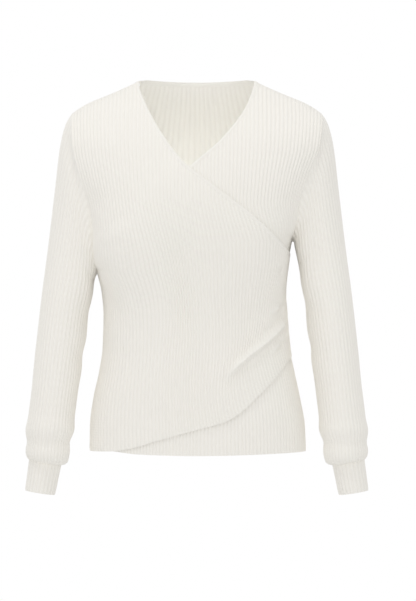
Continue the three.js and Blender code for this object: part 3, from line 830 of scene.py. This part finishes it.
def pressed(grid, side):
    """A sleeve's points, moved out to lie against the body's side under the arm."""
    x, y, z = grid[..., 0] * side, grid[..., 1], grid[..., 2]
    front, back = (
        between(SIDE_FORM[facing, side], np.abs(y), TABLE_DEPTH, z, TABLE_HEIGHTS)
        for facing in (-1, 1)
    )
    body = half_width(side, z) * np.where(y < 0, front, back)
    apart = CONTACT * smooth(UNDERARM[side] - z, 0, CONTACT_RUN)
    under = (z < UNDERARM[side]) & (np.abs(y) < TABLE_DEPTH[-1])
    moved = grid.copy()
    moved[..., 0] = side * np.where(under, np.maximum(x, body + apart), x)
    return moved


def tube(name, rings, side, ribs, every, row_step, lift=None):
    """A knitted tube through rings, the first at the top; ribs run along it."""
    count = rings[0].shape[0]
    stack = np.stack(rings)
    apart = np.linalg.norm(np.diff(stack, axis=0), axis=2).mean(1)
    down = np.r_[0, np.cumsum(apart)]
    rows = np.linspace(0, down[-1], max(3, int(round(down[-1] / row_step))) + 1)
    grid = pressed(through(down, stack)(rows)[::-1].transpose(1, 0, 2), side)
    along = np.gradient(grid, axis=1)
    round_it = np.roll(grid, -1, 0) - np.roll(grid, 1, 0)
    normal = unit(np.cross(round_it, along)) * side
    share = np.arange(count) / count
    height = rows[::-1]
    if lift:
        grid = grid + normal * lift(share[:, None], height[None, :], grid)[..., None]
    phase = np.arange(count) * ribs / count
    fade = smooth(height, *TOP_FADE) * smooth(rows[-1] - height, *HEM_FADE)
    rng = np.random.default_rng(len(name) * 5 + side)
    strength = rng.uniform(*RIB_UNEVEN, ribs)[np.floor(phase).astype(int)]
    rib = (rib_profile(phase) * strength - GROOVE)[:, None] * fade[None, :]
    outer = grid + normal * (OUTWARD + WALL / 2 + RIB_HEIGHT * rib)[..., None]
    lining = INNER_RIB * rib_profile(phase + 0.5)[:, None] * fade
    inner = grid + normal * (OUTWARD - WALL / 2 - lining)[..., None]
    uv = np.stack(np.broadcast_arrays(phase[:, None], (rows[-1] - height)[None, :] / STITCH), -1)
    columns = [list(range(len(rows)))] * count
    if side < 0:
        outer, inner, uv = outer[::-1], inner[::-1], uv[::-1]
    marks = (listed(uv), listed(uv))
    return knit_shell(name, columns, listed(outer), listed(inner), every, marks, closed=True)


# Soft creases of the sleeves: place along the sleeve and round it, height, length and width.
SLEEVE_CREASES = [
    (150, 0.06, 1.5, 22, 0.16),
    (188, 0.97, -1.2, 16, 0.15),
    (238, 0.03, 1.3, 20, 0.14),
    (262, 0.98, -1.4, 14, 0.15),
    (292, 0.05, 1.2, 18, 0.13),
    (96, 0.12, -1.4, 16, 0.09),
    (60, 0.2, 1.0, 20, 0.08),
    (70, 0.82, -1.2, 18, 0.1),
    (330, 0.55, -0.7, 26, 0.2),
    (372, 0.3, 0.8, 22, 0.2),
    (412, 0.72, -0.8, 20, 0.22),
]
CREASE_SLANT = 60.0  # how far a crease comes down for a whole turn round the sleeve
CREASES_TURNED = {-1: 0.02, 1: 0}  # the two sleeves' creases aren't quite alike
CREASES_DOWN = {-1: 0.97, 1: 1}
# The slack round the sleeve's end: height, how far out and how soon it fades up and down
SLEEVE_SLACK = [(-545, 2.4, 12), (-566, -2.6, 9)]


def sleeve_folds(side):
    """How far a sleeve's cloth lies out of its rings' surface."""

    def lift(share, down, place):
        share = share + CREASES_TURNED[side]
        total = 0
        for at, turn, height, length, width in SLEEVE_CREASES:
            near = (share - turn + 0.5) % 1 - 0.5
            slant = down - at * CREASES_DOWN[side] - near * CREASE_SLANT
            total = total + height * np.exp(-((slant / length) ** 2) - (near / width) ** 2)
        z = place[..., 2]
        return total + sum(out * np.exp(-(((z - at) / run) ** 2)) for at, out, run in SLEEVE_SLACK)

    return lift


def sleeve(name, side):
    count = SAMPLES * RIBS_SLEEVE
    rings = [armhole_loop(side, count)]
    rings += [tube_ring(ring, side, count) for ring in SLEEVE_RINGS]
    end = tube_ring(CUFF_RINGS[0], side, count)
    end[:, 2] += CUFF_TUCK
    return tube(name, rings + [end], side, RIBS_SLEEVE, HIDDEN_LINING, ROW_STEP, sleeve_folds(side))


def cuff(name, side):
    count = SAMPLES * RIBS_CUFF
    rings = [tube_ring(ring, side, count) for ring in CUFF_RINGS]
    rings[0][:, 2] += CUFF_TUCK + CUFF_INSIDE
    return tube(name, rings, side, RIBS_CUFF, SEEN_LINING, FINE_ROW_STEP)


# Materials
SURFACE = {"Specular IOR Level": 0.18, "Sheen Weight": 0.25, "Sheen Roughness": 0.6}
STITCH_SLANT = 1.3  # how many stitches a yarn comes down over half a stitch's width
YARN_FULLNESS = 0.6
FUZZ_HEIGHT = 0.4
BUMP_STRENGTH = 0.35
# How much of the tone comes from the painted shade in the ribs' grooves, the painted shade between
# the yarns, the cloth's unevenness and the fuzz
TONE = {"rib": 0.75, "yarn_relief_and_shade": 0.1, "uneven": 0.3, "fuzz": 0.1}


def node(tree, kind, **values):
    """A new shader node with its settings and, by name, its inputs' values."""
    made = tree.nodes.new("ShaderNode" + kind)
    for key, value in values.items():
        if hasattr(made, key):
            setattr(made, key, value)
        else:
            made.inputs[key.replace("_", " ")].default_value = value
    return made


def knit_material(name, light, shade, roughness, stitch_depth):
    material = bpy.data.materials.new(name)
    material.use_nodes = True
    tree = material.node_tree
    tree.nodes.clear()
    link = tree.links.new
    out = node(tree, "OutputMaterial")
    shader = node(tree, "BsdfPrincipled")
    for socket, value in dict(SURFACE, Roughness=roughness).items():
        shader.inputs[socket].default_value = value
    link(shader.outputs["BSDF"], out.inputs["Surface"])

    uv = node(tree, "UVMap", uv_map="Knit")
    parts = node(tree, "SeparateXYZ")
    link(uv.outputs["UV"], parts.inputs["Vector"])

    def maths(operation, a, b=None, clamp=False):
        made = node(tree, "Math", operation=operation, use_clamp=clamp)
        made.inputs[2].default_value = 0.5  # what MULTIPLY_ADD adds
        for socket, value in zip(made.inputs, (a, b)):
            if value is None:
                continue
            if isinstance(value, (int, float)):
                socket.default_value = value
            else:
                link(value, socket)
        return made.outputs[0]

    # Two columns of stitches to a rib: each stitch is a pair of slanted yarns, like a V.
    across = maths("MULTIPLY", parts.outputs["X"], 2.0)
    half = maths("PINGPONG", across, 0.5)
    slant = maths("ADD", parts.outputs["Y"], maths("MULTIPLY", half, STITCH_SLANT))
    wave = maths("SINE", maths("MULTIPLY", slant, 2 * math.pi))
    row = maths("MULTIPLY", wave, 0.5)
    column = maths("ABSOLUTE", maths("SINE", maths("MULTIPLY", across, math.pi)))
    yarn_relief_and_shade = maths("ADD", maths("MULTIPLY", row, column), maths("MULTIPLY", column, YARN_FULLNESS))

    place = node(tree, "TexCoord")
    fuzz = node(tree, "TexNoise", Scale=900.0, Detail=3.0, Roughness=0.65)
    link(place.outputs["Object"], fuzz.inputs["Vector"])
    uneven = node(tree, "TexNoise", Scale=14.0, Detail=2.0, Roughness=0.5)
    link(place.outputs["Object"], uneven.inputs["Vector"])

    height = maths("ADD", yarn_relief_and_shade, maths("MULTIPLY", fuzz.outputs["Fac"], FUZZ_HEIGHT))
    bump = node(tree, "Bump", Strength=BUMP_STRENGTH, Distance=stitch_depth)
    link(height, bump.inputs["Height"])
    link(bump.outputs["Normal"], shader.inputs["Normal"])

    # Painted shade: the colour is darker in the grooves between the ribs than on their crests, and
    # darker between the stitches' yarns; random unevenness and fuzz are added to it.
    painted_rib_shading = maths("COSINE", maths("MULTIPLY", parts.outputs["X"], 2 * math.pi))
    painted_rib_shading = maths("MULTIPLY_ADD", painted_rib_shading, -0.5)
    tone_and_painted_shade = maths("MULTIPLY", painted_rib_shading, TONE["rib"])
    # Painted shade between the stitches' yarns, darker where their relief is low
    tone_and_painted_shade = maths("ADD", tone_and_painted_shade, maths("MULTIPLY", yarn_relief_and_shade, TONE["yarn_relief_and_shade"]))
    tone_and_painted_shade = maths("ADD", tone_and_painted_shade, maths("MULTIPLY", uneven.outputs["Fac"], TONE["uneven"]))
    tone_and_painted_shade = maths("ADD", tone_and_painted_shade, maths("MULTIPLY", fuzz.outputs["Fac"], TONE["fuzz"]), clamp=True)
    mix = node(tree, "Mix", data_type="RGBA")
    link(tone_and_painted_shade, mix.inputs[0])
    a, b, result = mix.inputs[6], mix.inputs[7], mix.outputs[2]  # the sockets for colours
    a.default_value, b.default_value = shade, light
    link(result, shader.inputs["Base Color"])
    return material


def floor_material():
    """A pale matt floor that looks as white as the room behind it."""
    material = bpy.data.materials.new("floor_white")
    material.use_nodes = True
    tree = material.node_tree
    tree.nodes.clear()
    matt = node(tree, "BsdfDiffuse", Color=(0.9, 0.9, 0.9, 1))
    bright = node(tree, "Emission", Color=(1, 1, 1, 1), Strength=1.0)
    mix = node(tree, "MixShader")
    tree.links.new(node(tree, "LightPath").outputs["Is Camera Ray"], mix.inputs[0])
    tree.links.new(matt.outputs[0], mix.inputs[1])
    tree.links.new(bright.outputs[0], mix.inputs[2])
    tree.links.new(mix.outputs[0], node(tree, "OutputMaterial").inputs["Surface"])
    return material


# The camera looks straight at the front from far off.
camera_data = bpy.data.cameras.new("camera")
camera = bpy.data.objects.new("camera", camera_data)
bpy.context.scene.collection.objects.link(camera)
bpy.context.scene.camera = camera
camera_data.sensor_width = SENSOR
camera_data.lens = SENSOR * VIEW_DISTANCE / FRAME_HEIGHT
camera_data.clip_end = 100
camera.location = (FRAME_CENTRE[0] * MM, -VIEW_DISTANCE * MM, FRAME_CENTRE[1] * MM)
camera.rotation_euler = (math.pi / 2, 0, 0)

# The pieces
wrap_top, under_top = (
    edge_inside(edge, BAND_WIDTH - BAND_OVERLAP) for edge in (WRAP_EDGE, UNDER_EDGE)
)
back_bottom, under_bottom = (through(*np.array(hem, float).T) for hem in (BACK_HEM, UNDER_HEM))


def back_top(x):
    under_band = band_back_line(x) - BACK_BAND_WIDTH + BAND_OVERLAP
    return np.where(np.abs(x) < NECK_HALF + NECK_MARGIN, under_band, OUT_OF_THE_WAY)


# The shade colour is painted shade for the ribs' grooves and the hollows between the yarns, the light
# colour is for the crests; on the bands the two colours alternate along the band.
knit = knit_material("rib_knit", (0.94, 0.917, 0.862, 1), (0.9, 0.872, 0.813, 1), 0.92, 0.0005)
band_knit = knit_material(
    "band_knit", (0.945, 0.922, 0.868, 1), (0.915, 0.89, 0.836, 1), 0.9, 0.0004
)

pieces = {
    "back": body_panel(
        "cloth_back", 1, back_bottom, back_top, back_layer, every=SEEN_LINING, lining=bold_inside
    ),
    "front_right": body_panel(
        "cloth_front_right",
        -1,
        wrap_bottom,
        wrap_top,
        over_layer,
        bend=drawn_aside,
        row_step=FINE_ROW_STEP,
        flat=pulled_tight,
    ),
    "front_left": body_panel("cloth_front_left", -1, under_bottom, under_top, under_layer),
    "sleeve_right": sleeve("cloth_sleeve_right", -1),
    "sleeve_left": sleeve("cloth_sleeve_left", 1),
    "cuff_right": cuff("cloth_cuff_right", -1),
    "cuff_left": cuff("cloth_cuff_left", 1),
    "neckband_back": edge_band("band_back", 1, BACK_NECK_EDGE, back_layer, BACK_BAND_WIDTH),
    "neckband_right": edge_band("band_right", -1, WRAP_EDGE, over_layer),
    "neckband_left": edge_band("band_left", -1, UNDER_EDGE, under_layer),
}

# Each piece takes its knit, is held by the root and stands in for its CAD part, which is hidden.
for cad_node, piece in pieces.items():
    banded = cad_node.startswith("neckband")
    piece.data.materials.append(band_knit if banded else knit)
    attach(piece, "root")
    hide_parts(cad_node)

# The studio: a pale floor well under the garment, a white room and soft lights.
bpy.ops.mesh.primitive_circle_add(vertices=96, radius=30.0, fill_type="NGON")
floor = bpy.context.object
floor.name = "floor"
floor.location.z = FLOOR
floor.data.materials.append(floor_material())

world = bpy.data.worlds.new("room")
bpy.context.scene.world = world
world.use_nodes = True
tree = world.node_tree
background = tree.nodes["Background"]
background.inputs["Color"].default_value = (1, 1, 1, 1)
seen = node(tree, "LightPath").outputs["Is Camera Ray"]
strength = node(tree, "MapRange", To_Min=ROOM_LIGHT, To_Max=1.0)
tree.links.new(seen, strength.inputs["Value"])
tree.links.new(strength.outputs["Result"], background.inputs["Strength"])


def area_light(name, place, target, size, power):
    data = bpy.data.lights.new(name, "AREA")
    data.shape = "SQUARE"
    data.size = size
    data.energy = power
    light = bpy.data.objects.new(name, data)
    bpy.context.scene.collection.objects.link(light)
    light.location = place
    light.rotation_euler = (Vector(target) - Vector(place)).to_track_quat("-Z", "Y").to_euler()
    light.visible_camera = False
    return light


area_light("overhead", (-0.5, -0.9, 2.4), (0, 0, -0.2), 1.6, 15)
area_light("front", (0, -4.5, 0.3), (0, 0, -0.35), 1.5, 21)
area_light("inside", (0, -0.02, -0.26), (0, 0.1, -0.03), 0.12, 0.16).data.color = (0.95, 0.98, 1)
for side in (-1, 1):
    behind = area_light("behind", (side * 1.5, 2.2, -0.2), (0, 0, -0.35), 1.0, 1.3)
    behind.data.spread = math.radians(60)

bpy.context.scene.view_settings.view_transform = "Standard"
